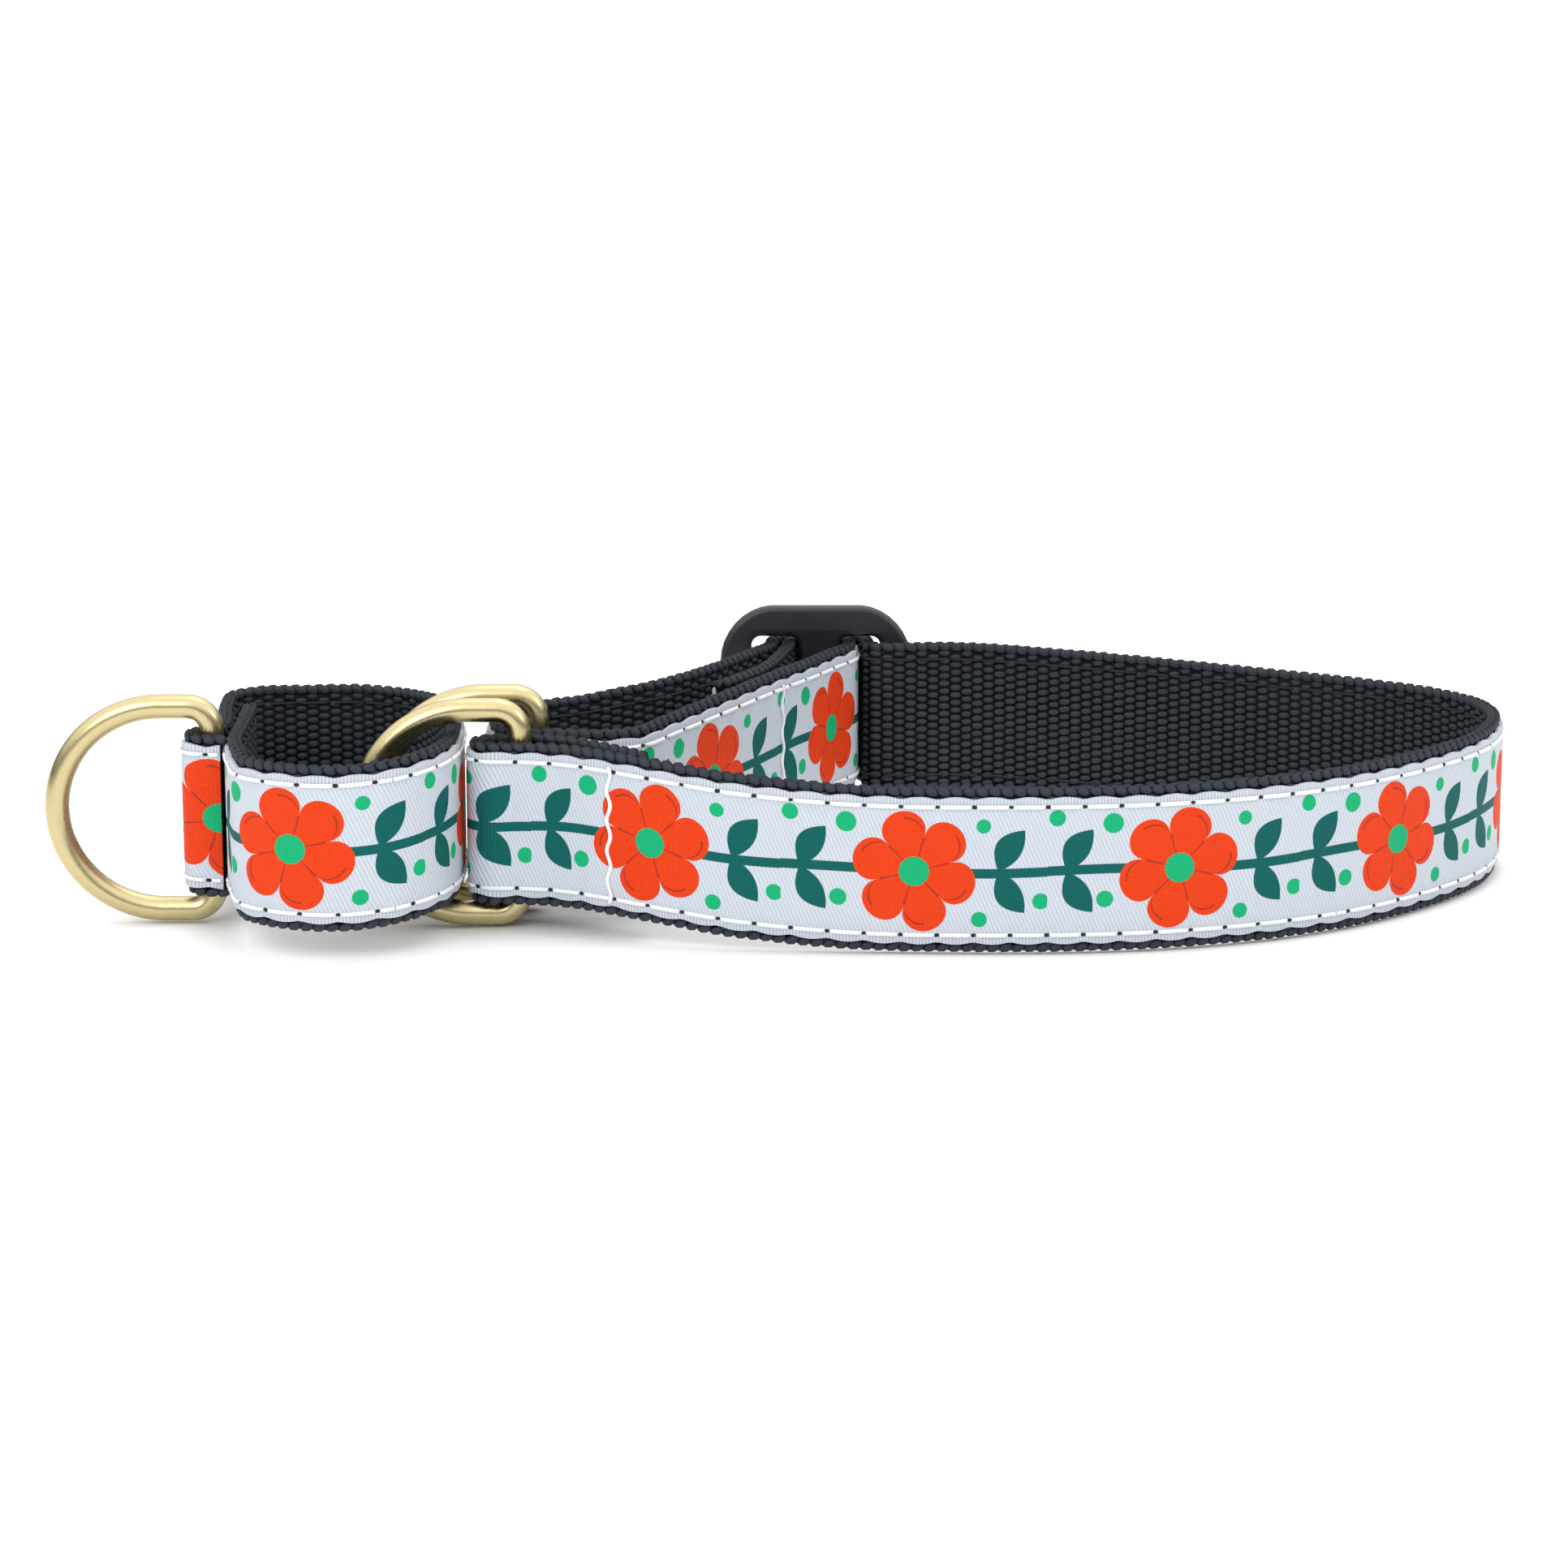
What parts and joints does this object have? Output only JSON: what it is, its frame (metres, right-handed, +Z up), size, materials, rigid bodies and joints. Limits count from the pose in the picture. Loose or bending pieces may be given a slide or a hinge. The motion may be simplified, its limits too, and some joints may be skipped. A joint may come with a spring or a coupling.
{
  "type": "martingale collar",
  "caption": "Martingale dog collar of black webbing with a floral ribbon: a neck strap with a tri-glide slider, slip D-rings, and a control loop with a D-ring for the leash.",
  "frame": {"origin": "On the surface the collar stands on, under the middle of its bounding box.", "axes": "+X along the collar from the leash ring towards the far end of the neck loop, +Y from the ribboned front towards the slider at the back, +Z up across the width of the webbing."},
  "size_m": [0.2318, 0.1026, 0.0374],
  "materials": {
    "webbing": "black nylon webbing, woven in oval bumps",
    "ribbon": "woven jacquard ribbon with a floral pattern",
    "thread": "white sewing thread",
    "brass": "satin",
    "moulding": "satin black, fine grained"
  },
  "bodies": {
    "collar": {"front_run_webbing": "webbing", "front_run_ribbon": "ribbon", "front_run_lower_stitching": "thread", "front_run_upper_stitching": "thread", "front_fold_tack": "thread", "right_end_webbing": "webbing", "right_end_ribbon": "ribbon", "right_end_lower_stitching": "thread", "right_end_upper_stitching": "thread", "back_run_webbing": "webbing", "back_run_ribbon": "ribbon", "back_run_lower_stitching": "thread", "back_run_upper_stitching": "thread", "adjusting_run_webbing": "webbing", "adjusting_run_ribbon": "ribbon", "adjusting_run_lower_stitching": "thread", "adjusting_run_upper_stitching": "thread", "rear_fold_webbing": "webbing", "rear_fold_ribbon": "ribbon", "return_run_webbing": "webbing", "return_run_ribbon": "ribbon", "return_run_lower_stitching": "thread", "return_run_upper_stitching": "thread", "loop_front_webbing": "webbing", "loop_front_ribbon": "ribbon", "loop_front_lower_stitching": "thread", "loop_front_upper_stitching": "thread", "loop_ring_wall_webbing": "webbing", "loop_ring_wall_ribbon": "ribbon", "loop_ring_wall_lower_stitching": "thread", "loop_ring_wall_upper_stitching": "thread", "loop_back_webbing": "webbing", "loop_back_ribbon": "ribbon", "loop_back_lower_stitching": "thread", "loop_back_upper_stitching": "thread"},
    "front_ring": {"front_slip_ring": "brass"},
    "rear_ring": {"rear_slip_ring": "brass"},
    "slider": {"tri_glide_slider": "moulding", "slider_pass_webbing": "webbing", "slider_pass_ribbon": "ribbon", "slider_wrap_webbing": "webbing", "slider_wrap_ribbon": "ribbon", "tail_tack": "thread"},
    "loop_end": {"loop_inner_wall_webbing": "webbing", "loop_inner_wall_ribbon": "ribbon", "loop_outer_wall_webbing": "webbing", "loop_outer_wall_ribbon": "ribbon", "leash_fold_webbing": "webbing", "leash_fold_ribbon": "ribbon"},
    "leash_ring": {"leash_ring": "brass"}
  },
  "joints": [
    {"name": "front_ring_swing", "type": "hinge", "parent": "collar", "child": "front_ring", "pos_m": [-0.04198, -0.02864, 0.018], "axis": [0, 0, 1], "range_deg": [-8, 20]},
    {"name": "rear_ring_swing", "type": "hinge", "parent": "collar", "child": "rear_ring", "pos_m": [-0.03988, -0.01774, 0.018], "axis": [0, 0, 1], "range_deg": [-9, 8]},
    {"name": "slider_adjust", "type": "slide", "parent": "collar", "child": "slider", "axis": [1, 0, 0], "range_m": [-0.004, 0.016], "deforming": ["back_run_webbing", "back_run_ribbon", "back_run_lower_stitching", "back_run_upper_stitching", "adjusting_run_webbing", "adjusting_run_ribbon", "adjusting_run_lower_stitching", "adjusting_run_upper_stitching", "return_run_webbing", "return_run_ribbon", "return_run_lower_stitching", "return_run_upper_stitching"]},
    {"name": "loop_pull", "type": "slide", "parent": "collar", "child": "loop_end", "axis": [-1, 0, 0], "range_m": [0, 0.01], "deforming": ["loop_front_webbing", "loop_front_ribbon", "loop_front_lower_stitching", "loop_front_upper_stitching", "loop_back_webbing", "loop_back_ribbon", "loop_back_lower_stitching", "loop_back_upper_stitching"]},
    {"name": "leash_ring_swing", "type": "hinge", "parent": "loop_end", "child": "leash_ring", "pos_m": [-0.08957, -0.02594, 0.018], "axis": [0, 0, 1], "range_deg": [-65, 65]}
  ]
}
